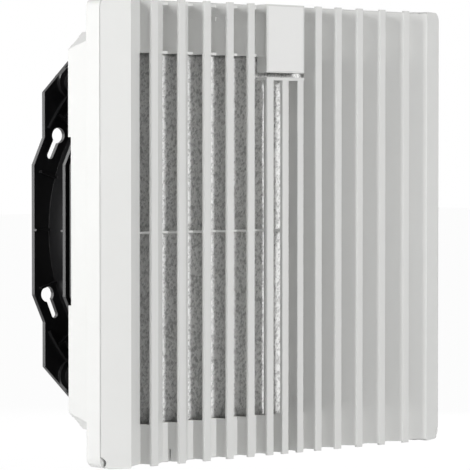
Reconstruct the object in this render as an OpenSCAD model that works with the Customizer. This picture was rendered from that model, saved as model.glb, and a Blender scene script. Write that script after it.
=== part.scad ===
// Cabinet filter fan: a square snap-in frame with a hinged louvre cover, a filter mat
// and a reversible fan on a bayonet plate. X points right, Y into the cabinet, Z up.
// The origin is the centre of the panel cut-out, on the panel's front face.

/* [Flange and collar] */
// Outer width and height of the square flange
flange_w = 255; // [250:1:265]
// Depth of the flange in front of the panel, at its left and right sides
flange_d = 12; // [11:0.5:15]
// How far the top and bottom bars of the flange stay behind the side bars
flange_step = 2.3; // [1.8:0.1:3]
// Corner radius of the flange and of the cover
flange_r = 5; // [2:0.5:8]
// How far the flange reaches past the collar on each side
flange_lip = 16.5; // [15:0.25:18]
// Depth of the collar behind the panel
collar_d = 38.5; // [36:0.5:42]
// Wall of the collar
collar_wall = 2.5; // [2:0.25:3]
// How far the edge of the flange's window stands in from the inside of the collar
window_step = 1; // [0.5:0.1:1.5]
// Corner cut of the collar at its rear end, which tapers to nothing at the panel
collar_cut = 9.8; // [6:0.2:14]
// Thickness of the ledges inside the frame
ledge_t = 2.4; // [1.8:0.1:3]
// Width of the gasket groove in the flange's rear face
gasket_w = 5; // [3:0.5:6]
// Depth of the gasket groove
gasket_t = 1.5; // [1:0.1:2.5]
// Distance from the flange's edge to the gasket
gasket_in = 2.5; // [2:0.25:4]

/* [Louvre cover] */
// Depth of the ridges in front of the flange's side bars
ridge_d = 6.7; // [5.5:0.1:9]
// Width of the flat front of a ridge
ridge_w = 4.4; // [3.5:0.1:5]
// Distance from the middle ridge to the next
first_pitch = 11.3; // [11:0.1:12]
// Distance from that ridge to the one after it
second_pitch = 14.1; // [13.5:0.1:14.5]
// Growth of each further pitch
pitch_growth = 1.3; // [1:0.05:1.4]
// Depth of the V grooves between the ridges
groove_d = 7; // [5.5:0.1:8]
// Width of a groove's steep flank
steep_run = 2.5; // [2:0.1:3]
// Width of a groove's flat floor
floor_w = 3.8; // [3:0.1:4]
// Depth of the pockets in the grooves above the air slots
pocket_d = 10; // [8:0.1:10.2]
// Least width of the border's inner flank
border_run = 6; // [4:0.5:8]
// Share of the border's inner flank that is left beside an air slot
border_keep = 0.95; // [0.8:0.01:1]
// Wall of the cover
cover_t = 1.8; // [1.4:0.1:2.2]
// Width of the sloped border outside its crest
border_w = 16; // [13:0.5:18]
// Height of the border's crest above the ridges
crest_rise = 0.3; // [0:0.1:1]
// Distance of the air slots from the lower edge of the cover
slot_foot = 22.7; // [20.5:0.1:30]
// Distance of the air slots from the upper edge of the cover
slot_head = 29.5; // [26:0.1:31]
// Depth of the steep flank that is left beside an air slot
stub_d = 1.55; // [1:0.05:3]
// Height of the rib between the air slots and the pockets
slot_rib = 1.6; // [1:0.1:3]
// Height of the cross rib in the middle of the slots
cross_rib = 1.3; // [1:0.1:3]
// How far the ridge ends stand out above and below the grooves
ridge_end = 1; // [0.5:0.1:2]
// Gap between the cover and the flange
seam = 0.3; // [0.25:0.05:0.6]
// Width of the pad for the badge plate
pad_w = 28; // [26:0.5:30]
// Height of the pad for the badge plate
pad_h = 38.5; // [32:0.5:40]
// Height of the tool recess under the pad
recess_h = 2.5; // [2:0.1:4.5]
// Thickness of the badge plate
badge_t = 0.8; // [0.5:0.1:1.2]
// Margin of the pad round the badge plate
badge_edge = 1; // [0.6:0.1:2]
// Width of a latch tongue
tongue_w = 10; // [6:0.5:14]
// Distance of the latch tongues from the middle
tongue_x = 41; // [36:0.5:46]

/* [Cover hinge] */
// Radius of the hinge pins
hinge_pin_r = 1.25; // [1:0.05:1.4]
// Running clearance of a pin in its knuckle
run_gap = 0.05; // [0.03:0.01:0.08]
// Distance of the hinge axis behind the front of the bottom bar
hinge_in = 1.5; // [1.2:0.1:2]
// Height of the hinge axis above the flange's bottom edge
hinge_up = 3.3; // [3.1:0.1:4]
// Radius of the knuckles and lugs
knuckle_r = 2.7; // [2.4:0.1:2.9]
// Width of a frame knuckle
knuckle_w = 8; // [6:0.5:9]
// Width of a cover lug
lug_w = 5; // [4:0.5:7]

/* [Filter] */
// Thickness of the filter mat
mat_t = 16.6; // [14:0.2:17]
// Gap between the filter mat and the window
mat_gap = 1; // [0.5:0.1:2]
// Thickness of the support grid
grid_t = 2.7; // [2:0.1:3]
// Number of openings in each row of the grid
grid_n = 9; // [8:1:11]
// Width of a grid bar
grid_bar = 2; // [1.5:0.1:3]

/* [Snap clips] */
// Height of the clips above and below the middle
clip_z = 62; // [50:1:75]
// Width of a clip
clip_w = 16; // [12:0.5:20]
// Thickness of the clip's spring strip
clip_t = 1; // [0.6:0.1:1.2]
// Radius of a clip's pivot pin
clip_pin_r = 1; // [0.8:0.05:1.2]
// Depth of the clip's pivot behind the panel
clip_y = 16.5; // [14:0.5:20]
// How far a clip stands out past the collar
clip_out = 3.2; // [2:0.1:4]

/* [Fan housing] */
// How far the carrier plate and the housing's flanges stay inside the collar's outline
fan_inset = 8.4; // [7.5:0.1:9.5]
// Corner cut of the carrier plate and the housing's flanges
fan_cut = 24.4; // [21:0.2:28]
// Gap between an ear's tip and the outside of the collar
ear_inset = 1; // [0.6:0.1:2]
// Half length of an ear at its base
ear_base = 52.6; // [48:0.2:56]
// Half length of an ear at its tip
ear_tip = 36.9; // [30:0.2:42]
// Thickness of the carrier plate
carrier_t = 2.5; // [2:0.1:3]
// Gap between the carrier plate and the housing, filled by the seal
seal_t = 4; // [3.6:0.1:5]
// Thickness of the housing's flanges
flange_t = 2.6; // [2.2:0.1:3.2]
// Depth of the housing from its front flange to its rear flange
housing_d = 32.1; // [30:0.1:36]
// Distance from the outside of the duct to the straight sides of the flanges
duct_edge = 2.6; // [2:0.1:4]
// Wall of the duct
duct_wall = 3; // [2.5:0.1:3.4]
// Distance from an ear's tip to the circle of keyholes
key_edge = 2.6; // [2:0.1:3.2]
// Radius of a keyhole's round end
key_r = 4.4; // [4:0.1:4.8]
// Radius of a keyhole's narrow end
key_slot_r = 2.1; // [1.7:0.1:2.4]
// Angle from the middle of a side back to the first keyhole's round end
key_back = 30; // [28:0.5:31]
// Angle from the middle of a side on to the second keyhole's round end
key_on = 20; // [19:0.5:22]
// Angle from a keyhole's round end to its narrow end
key_turn = 6.8; // [6:0.2:7.5]
// Radius of a bayonet stud's head
stud_head_r = 3.4; // [2.8:0.1:3.8]
// Clearance of a bayonet stud in its keyhole and on the flange
stud_gap = 0.2; // [0.1:0.05:0.35]
// Height of the flanges' ribs
rib_h = 2; // [1.5:0.25:4]
// Thickness of the flanges' ribs
rib_t = 1.2; // [1:0.1:2]
// Direction of the ribs at an ear's ends, from its middle
rib_angle = 17.3; // [14:0.1:18]
// Direction of the ends of a corner well, from the middle of a side
well_angle = 35; // [33:0.5:38]
// Distance of a corner well's outer wall from the duct
well_out = 15; // [13:0.5:16]
// Distance of a corner well's inner wall from the duct
well_in = 9; // [7:0.5:11]
// Angle by which a corner well's outer wall runs on to each side of the corner
well_spread = 15; // [12:0.5:16]
// Radius of the pads round the corner bosses
boss_pad_r = 9.4; // [8:0.2:10]
// Height of the corner bosses in front of the rear flange
boss_h = 5; // [4:0.5:8]
// Distance of the corner screws from the corner cuts, along the sides
corner_edge = 6.4; // [5.5:0.1:8]
// Radius of the corner bosses
boss_r = 6; // [5:0.5:8]

/* [Motor and impeller] */
// Number of impeller blades
blade_n = 7; // [5:1:9]
// Clearance between the blade tips and the duct
tip_gap = 1.5; // [1:0.1:3]
// Outer radius of the impeller's hub
hub_r = 50; // [47:0.5:56]
// Wall of the hub
hub_t = 2.5; // [2:0.1:3]
// Axial depth of a blade
blade_d = 28; // [22:0.5:29]
// Thickness of a blade in its middle
blade_t = 2.4; // [1.6:0.1:3]
// Angle that a blade turns over its depth
blade_wrap = 42; // [30:1:48]
// Angle that a blade's tip leads its root
blade_sweep = 14; // [0:1:20]
// Wall of the steel rotor cup
cup_t = 1.6; // [1.2:0.1:2]
// Thickness of the rotor ring inside the cup
ring_t = 5; // [4:0.25:6]
// Air gap between the stator and the rotor ring
air_gap = 0.6; // [0.4:0.05:1]
// Length of the stator's core
core_l = 16; // [12:0.5:18]
// Number of stator teeth
tooth_n = 12; // [8:2:16]
// Radius of the shaft
shaft_r = 4; // [3.5:0.1:4.5]
// Outer radius of a ball bearing
bearing_r = 11; // [10.5:0.1:12]
// Width of a ball bearing
bearing_w = 7; // [6:0.2:8]
// Wall of the bearing tube
tube_wall = 2.5; // [2:0.1:3]
// Number of balls in a bearing
ball_n = 7; // [6:1:8]
// Thickness of the motor's base plate
base_t = 3; // [2.5:0.1:4]
// Width of a spider arm
arm_w = 9; // [7:0.5:12]
// Depth of the spider behind the rear flange
spider_d = 4.4; // [4:0.1:6]
// Gap between the heads of the motor screws and the terminal box
motor_screw_gap = 1.5; // [0.8:0.1:3]

/* [Finger guard] */
// Radius of the guard's wire
wire_r = 1.2; // [0.9:0.05:1.5]
// Distance from the inside of the duct to the outermost ring of wire
guard_edge = 1; // [0.5:0.1:2]
// Distance between the rings
guard_pitch = 11.5; // [9:0.5:12]
// Number of rings
guard_n = 5; // [4:1:5]
// Depth by which a wire sinks into another at a weld
weld = 0.3; // [0.2:0.05:0.4]

/* [Terminal box] */
// Width of the terminal box
box_w = 54; // [50:1:60]
// Height of the terminal box
box_h = 40; // [38:0.5:41]
// Depth of the terminal box
box_d = 18; // [17:0.5:24]
// Wall of the terminal box and its lid
box_t = 2; // [1.6:0.1:2.4]
// Radius of the cable entry in the grommet
cable_r = 3.5; // [2.5:0.1:4]
// Wall of the grommet
grommet_wall = 1.8; // [1.4:0.1:2.2]
// Number of terminals
pole_n = 3; // [2:1:4]
// Distance between the terminals
pole_pitch = 8; // [7:0.25:9]

/* [Screws] */
// Radius of the corner, motor and guard screws
screw_r = 1.5; // [1.3:0.05:1.8]
// Radius of a screw's head
head_r = 3; // [2.6:0.1:3.2]
// Height of a screw's head
head_h = 2.2; // [1.6:0.1:2.6]
// Width of a screw's cross recess
cross_w = 0.9; // [0.6:0.1:1.1]
// Depth of the carrier screws in their bosses
carrier_screw_l = 7; // [5:0.5:7.5]
// Length of the guard screws
guard_screw_l = 10; // [7:0.5:11]
// Depth of the lid screws in the terminal box
lid_screw_l = 6; // [4:0.5:7.5]

/* [Hidden] */
$fn = 64;
big = 400;
skin = 0.01;
tight = 0.3;
half_w = flange_w / 2;
collar_half = half_w - flange_lip;
collar_in = collar_half - collar_wall;
window_half = collar_in - window_step;
window_w = 2 * window_half;
bar_y = flange_step - flange_d;
seam_y = -flange_d - seam;
nose_y = -flange_d - ridge_d;
valley_y = nose_y + groove_d;
back_y = bar_y - seam - 0.1;
crest = [half_w - border_w, nose_y - crest_rise];
edge = [half_w, seam_y];
ridge_pairs = fitting(1);
slot_bottom = slot_foot - half_w;
slot_top = half_w - slot_head;
pocket_z = slot_top + slot_rib;
pocket_y = nose_y + pocket_d;
top_bar_y = pocket_y + cover_t + seam;
groove_top = half_w - ridge_end;
cap_z = groove_top - cover_t;
pad_y = nose_y + badge_t;
pad_z = half_w - pad_h;
recess_z = pad_z - recess_h;
tongue_z = half_w - 8;
tongue_l = 4;
tongue_y = top_bar_y + tongue_l;
tongue_t = 2.4;
hinge_y = bar_y + hinge_in;
hinge_z = hinge_up - half_w;
hinge_x = ridge_x(ridge_pairs - 1);
cove_r = norm([hinge_y - back_y, hinge_up]) + tight;
scoop_r = norm([hinge_y + flange_d, hinge_up]) + tight;
rim_x = window_half - 0.5;
lug_x = knuckle_w / 2 + tight;
notch_y = hinge_y - knuckle_r - 2.5;
mat_half = window_half - mat_gap;
mat_top = slot_top + mat_gap;
mat_y = back_y + 0.5;
grid_y = mat_y + mat_t + tight;
tray_y = grid_y + grid_t;
carrier_y = collar_d - carrier_t;
rear_ledge_y = carrier_y - ledge_t;
housing_y = collar_d + seal_t;
rear_y = housing_y + housing_d;
spider_y = rear_y + spider_d;
fan_half = collar_half - fan_inset;
side_half = fan_half - fan_cut;
ear = collar_half - ear_inset;
duct_out = fan_half - duct_edge;
duct_r = duct_out - duct_wall;
inlet_r = duct_r + 0.5;
key_circle = ear - key_edge;
corner_xy = fan_half - fan_cut / 2 - corner_edge;
motor_screw_xy = box_h / 2 + motor_screw_gap + head_r;
guard_first = duct_r + guard_edge - (guard_n - 1) * guard_pitch;
side_points = [[fan_half, -side_half], [fan_half, -ear_base], [ear, -ear_tip],
               [ear, ear_tip], [fan_half, ear_base], [fan_half, side_half]];
sides = [0, 90, 180, 270];
corners = [[1, 1], [-1, 1], [-1, -1], [1, -1]];
key_starts = [-key_back, key_on];
stud_y = housing_y + flange_t + stud_gap;
stud_head = 2;
stud_shank = key_slot_r - stud_gap;
pivot_x = collar_half - collar_wall;
eye_r = clip_pin_r + run_gap + clip_t;
clip_window = [2.2, clip_y + eye_r + tight];
clip_nose = [collar_half + clip_out, 5.2];
clip_path = [[pivot_x + eye_r - clip_t, clip_y], [collar_half + 0.5, 12], clip_nose,
             [collar_half + 0.8, 2.9]];
pad_in = 3;
base_y = spider_y - ledge_t - base_t - 0.6;
disc_y = base_y + base_t;
disc_r = hub_r - hub_t - 3.5;
tip_r = duct_r - tip_gap;
blade_y = housing_y + 0.5;
hub_y = housing_y - 2;
hub_end = base_y - 2;
cup_r = hub_r - hub_t;
cup_y = hub_y + hub_t;
cup_end = hub_end - 0.5;
ring_in = cup_r - cup_t - ring_t;
core_r = ring_in - air_gap;
core_y = (cup_y + cup_t + base_y) / 2 - core_l / 2;
coil_h = 2.6;
tube_in = bearing_r;
tube_out = tube_in + tube_wall;
tube_y = cup_y + cup_t + 4;
front_bearing_y = tube_y;
rear_bearing_y = base_y - bearing_w;
bearings = [front_bearing_y, rear_bearing_y];
ball_circle = (shaft_r + bearing_r) / 2;
ball_r = 1.6;
race_gap = 0.08;
inner_race = ball_circle - 1.1;
outer_race = ball_circle + 1.1;
clip_groove_y = rear_bearing_y + bearing_w + 0.5;
shaft_end = disc_y - 0.4;
boss_y = spider_y + 2 * wire_r - weld;
guard_y = spider_y + wire_r;
leg_y = guard_y + 2 * wire_r - weld;
eye_wire_r = screw_r + tight + wire_r;
box_y = spider_y;
lid_y = box_y + box_d;
entry_y = box_y + box_d / 2;
entry_r = cable_r + grommet_wall;
lid_screw_x = box_w / 2 - box_t - 3.2;
block_y = box_y + box_t;
block_d = box_d - 2 * box_t - 2.5;
block_h = 15;
block_z = 1;

// Profiles of the louvre cover, seen from above, listed from left to right

function ridge_x(k) = k == 0 ? 0
    : first_pitch + (k - 1) * second_pitch + pitch_growth * (k - 1) * (k - 2) / 2;
function nose(k, side) = [ridge_x(k) + side * ridge_w / 2, nose_y];
function valley(k) = nose(k, 1) + [steep_run, groove_d];
function floor_end(k) = valley(k) + [floor_w, 0];
function pocket(k) = nose(k, 1) + pocket_d / groove_d * [steep_run, groove_d];
function pocket_end(k) = [floor_end(k)[0], pocket_y];
function foot(k) = k < ridge_pairs ? pocket(k) : valley(k);
function fitting(k) = floor_end(k + 1)[0] + border_run > crest[0] ? k : fitting(k + 1);
function mirrored(points) = [for (i = [len(points) - 1 : -1 : 0]) [-points[i][0], points[i][1]]];
function reversed(points) = [for (i = [len(points) - 1 : -1 : 0]) points[i]];
function unit(v) = v / norm(v);
function behind(p, q) = let (d = unit(q - p)) [-d[1], d[0]];
function miter(a, b, t) = t * (a + b) / (1 + a * b);
function segment(points, i) =
    let (s = max(0, min(i, len(points) - 2))) behind(points[s], points[s + 1]);
function thickened(points, t) =
    [for (i = [0 : len(points) - 1])
        points[i] + miter(segment(points, i - 1), segment(points, i), t)];
function back_limit(x, y) = abs(x) > rim_x ? seam_y : y;
function kept_in_front(points, y) = [for (p = points) [p[0], min(p[1], back_limit(p[0], y))]];

right_front = concat(
    [nose(0, 1), valley(0)],
    [for (k = [1 : ridge_pairs])
        each [floor_end(k - 1), nose(k, -1), nose(k, 1), valley(k)]],
    [crest, edge]);
front = concat(mirrored(right_front), right_front);
right_top = concat(
    [nose(0, 1), pocket(0)],
    [for (k = [1 : ridge_pairs])
        each [pocket_end(k - 1), floor_end(k - 1), nose(k, -1), nose(k, 1), foot(k)]],
    [crest, edge]);
top_front = concat(mirrored(right_top), right_top);

function stub_end(k) = nose(k, 1) + stub_d / groove_d * (valley(k) - nose(k, 1));
function bar(k) = k == 0 ? concat(mirrored([nose(0, 1), stub_end(0)]), [nose(0, 1), stub_end(0)])
    : [floor_end(k - 1), nose(k, -1), nose(k, 1), stub_end(k)];
function border_bar() =
    [crest + border_keep * (valley(ridge_pairs) - crest), crest, edge];

// Shapes that several pieces share

module slab(y0, y1) {
    translate([0, y1, 0])
        rotate([90, 0, 0])
            linear_extrude(y1 - y0)
                children();
}

module rod(x, z, y0, y1, r) {
    translate([x, y0, z])
        rotate([-90, 0, 0])
            cylinder(r = r, h = y1 - y0);
}

module rod_x(x0, x1, y, z, r) {
    translate([x0, y, z])
        rotate([0, 90, 0])
            cylinder(r = r, h = x1 - x0);
}

module rod_z(x, y, z0, z1, r) {
    translate([x, y, z0])
        cylinder(r = r, h = z1 - z0);
}

module block(x0, x1, y0, y1, z0, z1) {
    translate([x0, y0, z0])
        cube([x1 - x0, y1 - y0, z1 - z0]);
}

module storey(z0, z1) {
    translate([0, 0, z0])
        linear_extrude(z1 - z0)
            children();
}

module rounded_square(w, r) {
    square([w - 2 * r, w], center = true);
    square([w, w - 2 * r], center = true);
    for (c = corners)
        translate((w / 2 - r) * c)
            circle(r);
}

module square_ring(w_out, w_in) {
    difference() {
        square(w_out, center = true);
        square(w_in, center = true);
    }
}

module annulus(r_out, r_in) {
    difference() {
        circle(r_out);
        circle(r_in);
    }
}

module strip(points, t, y = back_y) {
    polygon(concat(points, reversed(kept_in_front(thickened(points, t), y))));
}

module at_corners(xy) {
    for (c = corners)
        translate([c[0] * xy, 0, c[1] * xy])
            children();
}

// A pan-head screw along Y: its head's top is at y_head and it points forward
module screw(y_head, length) {
    difference() {
        union() {
            rod(0, 0, y_head - head_h, y_head, head_r);
            rod(0, 0, y_head - head_h - length, y_head - head_h + skin, screw_r);
        }
        for (a = [0, 90])
            rotate([0, a, 0])
                block(-head_r * 0.6, head_r * 0.6, y_head - head_h / 2, y_head + 1,
                      -cross_w / 2, cross_w / 2);
    }
}

// Outline of the carrier plate and the housing's flanges: cut corners and four ears
module flange_outline() {
    polygon([for (a = sides) for (p = side_points)
        [p[0] * cos(a) - p[1] * sin(a), p[0] * sin(a) + p[1] * cos(a)]]);
}

module keyhole(start) {
    length = 2 * key_circle * sin(key_turn / 2);
    rotate(start)
        translate([key_circle, 0]) {
            circle(key_r);
            rotate(key_turn / 2)
                translate([-key_slot_r, 0])
                    square([2 * key_slot_r, length]);
            rotate(key_turn / 2)
                translate([0, length])
                    circle(key_slot_r);
        }
}

module keyholes() {
    for (a = sides)
        for (s = key_starts)
            keyhole(a + s);
}

// Frame, gasket, grid and mat

module collar_block(half, cut) {
    tilt = atan(cut / sqrt(2) / collar_d);
    reach = half * sqrt(2);
    difference() {
        block(-half, half, 0, collar_d, -half, half);
        for (a = [45 : 90 : 315])
            rotate([0, a, 0])
                translate([reach, 0, 0])
                    rotate([0, 0, tilt])
                        block(0, big, -big, big, -big, big);
    }
}

// Room in the bottom bar for the cover's lower edge as it swings
module hinge_cove() {
    rod_x(-window_half, window_half, hinge_y, hinge_z, cove_r);
    block(-window_half, window_half, -big, hinge_y, -big, hinge_z);
}

module frame_knuckles() {
    for (x = [-hinge_x, hinge_x])
        difference() {
            union() {
                rod_x(x - knuckle_w / 2, x + knuckle_w / 2, hinge_y, hinge_z, knuckle_r);
                block(x - knuckle_w / 2, x + knuckle_w / 2, hinge_y, hinge_y + cove_r + 1,
                      hinge_z - knuckle_r, hinge_z + knuckle_r);
            }
            rod_x(x - knuckle_w, x + knuckle_w, hinge_y, hinge_z, hinge_pin_r + run_gap);
        }
}

module at_clips() {
    for (s = [-1, 1])
        for (z = [-clip_z, clip_z])
            translate([0, 0, z])
                mirror([s < 0 ? 1 : 0, 0, 0])
                    children();
}

module mounting_frame() {
    color("whitesmoke") {
        difference() {
            union() {
                difference() {
                    slab(-flange_d, 0)
                        rounded_square(flange_w, flange_r);
                    block(-window_half, window_half, -big, bar_y, -big, big);
                    block(-window_half, window_half, -big, big, -window_half, window_half);
                    block(-window_half, window_half, -big, top_bar_y, 0, big);
                    hinge_cove();
                    slab(-gasket_t, skin)
                        square_ring(flange_w - 2 * gasket_in,
                                    flange_w - 2 * gasket_in - 2 * gasket_w);
                    for (x = [-tongue_x, tongue_x])
                        block(x - tongue_w / 2 - tight, x + tongue_w / 2 + tight, -big,
                              tongue_y + tight, tongue_z - tongue_t - tight,
                              tongue_z + tight);
                }
                difference() {
                    collar_block(collar_half, collar_cut);
                    translate([0, -skin, 0])
                        collar_block(collar_in, collar_cut);
                    block(-collar_in, collar_in, collar_d - 1, big, -collar_in, collar_in);
                    carrier_notches();
                }
                slab(-skin, tray_y + ledge_t)
                    square_ring(2 * collar_in + skin, window_w);
                slab(tray_y, tray_y + ledge_t)
                    square_ring(2 * collar_in + skin, window_w - 8);
                rear_ledge();
                at_clips()
                    for (s = [-1, 1])
                        block(collar_in - pad_in, collar_in + skin, clip_y - pad_in,
                              clip_y + pad_in, s * (clip_w / 2 + 2.5) - 2,
                              s * (clip_w / 2 + 2.5) + 2);
            }
            at_clips() {
                block(window_half, collar_half + 1, clip_window[0], clip_window[1],
                      -clip_w / 2 - 0.5, clip_w / 2 + 0.5);
                rod_z(pivot_x, clip_y, -clip_w / 2 - 4, clip_w / 2 + 4, clip_pin_r);
            }
        }
        frame_knuckles();
    }
}

// Notches in the collar's rear edge, for the carrier plate's ears
module carrier_notches() {
    slab(carrier_y, big)
        for (a = sides)
            rotate(a)
                polygon([[fan_half, -ear_base - tight], [big, -ear_tip - tight],
                         [ear + 4, -ear_tip - tight], [ear + 4, ear_tip + tight],
                         [fan_half, ear_base + tight]]);
}

// Ledge that the carrier plate lies on, with the corner bosses for its screws
module rear_ledge() {
    difference() {
        union() {
            intersection() {
                translate([0, -skin, 0])
                    collar_block(collar_in + skin, collar_cut);
                slab(rear_ledge_y, carrier_y)
                    difference() {
                        square(big, center = true);
                        circle(inlet_r);
                    }
            }
            at_corners(corner_xy)
                rod(0, 0, carrier_y - carrier_screw_l - 3, carrier_y, boss_r);
        }
        at_corners(corner_xy)
            rod(0, 0, carrier_y - carrier_screw_l - 1, big, screw_r);
    }
}

module panel_gasket() {
    color("dimgray")
        slab(-gasket_t, 0)
            square_ring(flange_w - 2 * gasket_in, flange_w - 2 * gasket_in - 2 * gasket_w);
}

module support_grid() {
    pitch = (window_w - 8) / grid_n;
    color("whitesmoke")
        slab(grid_y, tray_y)
            difference() {
                square(window_w - 2 * tight, center = true);
                for (i = [0 : grid_n - 1])
                    for (j = [0 : grid_n - 1])
                        translate((([i, j] - [1, 1] * (grid_n - 1) / 2)) * pitch)
                            square(pitch - grid_bar, center = true);
            }
}

module filter_mat() {
    color("gainsboro")
        block(-mat_half, mat_half, mat_y, mat_y + mat_t, -mat_half, mat_top);
}

// Snap clips

module clip_pins() {
    color("silver")
        at_clips()
            rod_z(pivot_x, clip_y, -clip_w / 2 - 4, clip_w / 2 + 4, clip_pin_r);
}

// A spring strip with a rolled eye, drawn for the right side
module snap_clip(side, z) {
    color("lightslategray")
        translate([0, 0, z])
            mirror([side < 0 ? 1 : 0, 0, 0])
                difference() {
                    union() {
                        rod_z(pivot_x, clip_y, -clip_w / 2, clip_w / 2, eye_r);
                        storey(-clip_w / 2, clip_w / 2)
                            polygon(concat(clip_path, reversed(thickened(clip_path, -clip_t))));
                    }
                    rod_z(pivot_x, clip_y, -clip_w, clip_w, clip_pin_r + run_gap);
                }
}

// Louvre cover

module cover_end_fill() {
    polygon(concat(front, [[rim_x, seam_y], [rim_x, back_y], [-rim_x, back_y], [-rim_x, seam_y]]));
}

module ridge_fronts() {
    intersection() {
        cover_end_fill();
        union() {
            for (k = [0 : ridge_pairs])
                for (s = [-1, 1])
                    translate([s * ridge_x(k) - ridge_w / 2, nose_y - 1])
                        square([ridge_w, cover_t + 1]);
            for (s = [-1, 1])
                translate([s * half_w, 0])
                    square([2 * border_w, big], center = true);
        }
    }
}

module louvre_bars() {
    for (k = [0 : ridge_pairs]) {
        strip(bar(k), cover_t);
        if (k > 0)
            strip(mirrored(bar(k)), cover_t);
    }
    strip(border_bar(), cover_t);
    strip(mirrored(border_bar()), cover_t);
}

module louvre_body() {
    storey(-half_w, -groove_top)
        ridge_fronts();
    storey(-groove_top, -cap_z)
        cover_end_fill();
    storey(-cap_z, slot_bottom)
        strip(front, cover_t);
    storey(slot_bottom, -cross_rib / 2)
        louvre_bars();
    storey(-cross_rib / 2, cross_rib / 2)
        strip(front, cover_t);
    storey(cross_rib / 2, slot_top)
        louvre_bars();
    storey(slot_top, pocket_z)
        strip(front, cover_t);
    storey(pocket_z, cap_z)
        strip(top_front, cover_t, pocket_y + cover_t);
    storey(cap_z, groove_top)
        cover_end_fill();
    storey(groove_top, half_w)
        ridge_fronts();
}

// Raised pad for the badge plate, with the tool recess and its ledge below
module badge_pad() {
    x = pad_w / 2;
    difference() {
        block(-x, x, nose_y, back_y, pad_z, half_w);
        block(-x + cover_t, x - cover_t, pad_y + cover_t, back_y + 1, pad_z - 1,
              half_w - cover_t);
        block(-x + badge_edge, x - badge_edge, nose_y - 1, pad_y, pad_z + badge_edge,
              half_w - badge_edge);
    }
    block(-x, x, nose_y, back_y, recess_z - cover_t, recess_z);
}

module cover_lugs() {
    for (x = [-hinge_x, hinge_x])
        for (s = [-1, 1])
            translate([x + s * (lug_x + lug_w / 2), 0, 0])
                difference() {
                    union() {
                        rod_x(-lug_w / 2, lug_w / 2, hinge_y, hinge_z, knuckle_r);
                        block(-lug_w / 2, lug_w / 2, back_y - 1, hinge_y, hinge_z - knuckle_r,
                              hinge_z + knuckle_r);
                    }
                    rod_x(-lug_w, lug_w, hinge_y, hinge_z, hinge_pin_r);
                }
}

module grille_cover() {
    color("gainsboro") {
        intersection() {
            difference() {
                louvre_body();
                block(-pad_w / 2, pad_w / 2, -big, big, recess_z - cover_t, big);
                for (x = [-hinge_x, hinge_x])
                    block(x - lug_x, x + lug_x, notch_y, big, -big,
                          hinge_z + cove_r + tight);
                for (x = [-half_w - 1, rim_x - tight])
                    rod_x(x, x + half_w - rim_x + 1 + tight, hinge_y, hinge_z, scoop_r);
            }
            slab(-big, big)
                rounded_square(flange_w, flange_r);
        }
        badge_pad();
        cover_lugs();
        for (x = [-tongue_x, tongue_x])
            block(x - tongue_w / 2, x + tongue_w / 2, valley_y, tongue_y,
                  tongue_z - tongue_t, tongue_z);
    }
}

module badge_plate() {
    x = pad_w / 2 - badge_edge;
    color("white")
        block(-x, x, nose_y, pad_y, pad_z + badge_edge, half_w - badge_edge);
}

module hinge_pins() {
    color("silver")
        for (x = [-hinge_x, hinge_x])
            rod_x(x - lug_x - lug_w, x + lug_x + lug_w, hinge_y, hinge_z, hinge_pin_r);
}

// Carrier plate, studs, seal and fan housing

module carrier_plate() {
    color("#202124")
        difference() {
            slab(carrier_y, collar_d)
                difference() {
                    flange_outline();
                    circle(inlet_r);
                    for (a = sides)
                        for (s = key_starts)
                            rotate(a + s + key_turn)
                                translate([key_circle, 0])
                                    circle(stud_shank);
                }
            at_corners(corner_xy)
                rod(0, 0, carrier_y - 1, big, screw_r + 0.2);
        }
}

module carrier_screws() {
    color("silver")
        at_corners(corner_xy)
            screw(collar_d + head_h, carrier_t + carrier_screw_l);
}

module bayonet_studs() {
    color("silver")
        for (a = sides)
            for (s = key_starts)
                rotate([0, -a - s - key_turn, 0])
                    translate([key_circle, 0, 0]) {
                        rod(0, 0, carrier_y, stud_y + skin, stud_shank);
                        rod(0, 0, collar_d, housing_y - stud_gap, stud_head_r);
                        rod(0, 0, stud_y, stud_y + stud_head, stud_head_r);
                    }
}

module inlet_seal() {
    color("#303030")
        slab(collar_d, housing_y)
            annulus(duct_out, inlet_r);
}

module housing_flange(y0) {
    slab(y0, y0 + flange_t)
        difference() {
            flange_outline();
            keyholes();
            circle(duct_r + duct_wall / 2);
        }
}

// A wall along a circle, to both sides of a corner
module arc_wall(r, spread) {
    intersection() {
        annulus(r + rib_t, r);
        polygon([[0, 0], 2 * r * [cos(spread), -sin(spread)], [2 * r, 0],
                 2 * r * [cos(spread), sin(spread)]]);
    }
}

// Radial ribs at each ear, the corner wells' walls and the boss pads, in the flange's plane
module flange_ribs() {
    wall = duct_r + duct_wall / 2;
    intersection() {
        flange_outline();
        for (a = sides) {
            for (b = [-rib_angle, 0, rib_angle])
                rotate(a + b)
                    translate([wall, -rib_t / 2])
                        square([ear - duct_r, rib_t]);
            for (b = [-well_angle, well_angle])
                rotate(a + b)
                    translate([wall, -rib_t / 2])
                        square([duct_out + well_out + rib_t / 2 - wall, rib_t]);
            rotate(a + 45) {
                arc_wall(duct_out + well_out, well_spread);
                arc_wall(duct_out + well_in, 45 - well_angle);
                translate([corner_xy * sqrt(2), 0])
                    circle(boss_pad_r);
            }
        }
    }
}

module spider() {
    slab(rear_y - skin, spider_y) {
        annulus(duct_out, duct_r);
        for (a = sides)
            rotate(a + 45)
                translate([disc_r + tight, -arm_w / 2])
                    square([duct_r + duct_wall / 2 - disc_r - tight, arm_w]);
    }
    slab(disc_y, spider_y)
        circle(disc_r + 1);
}

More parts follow.
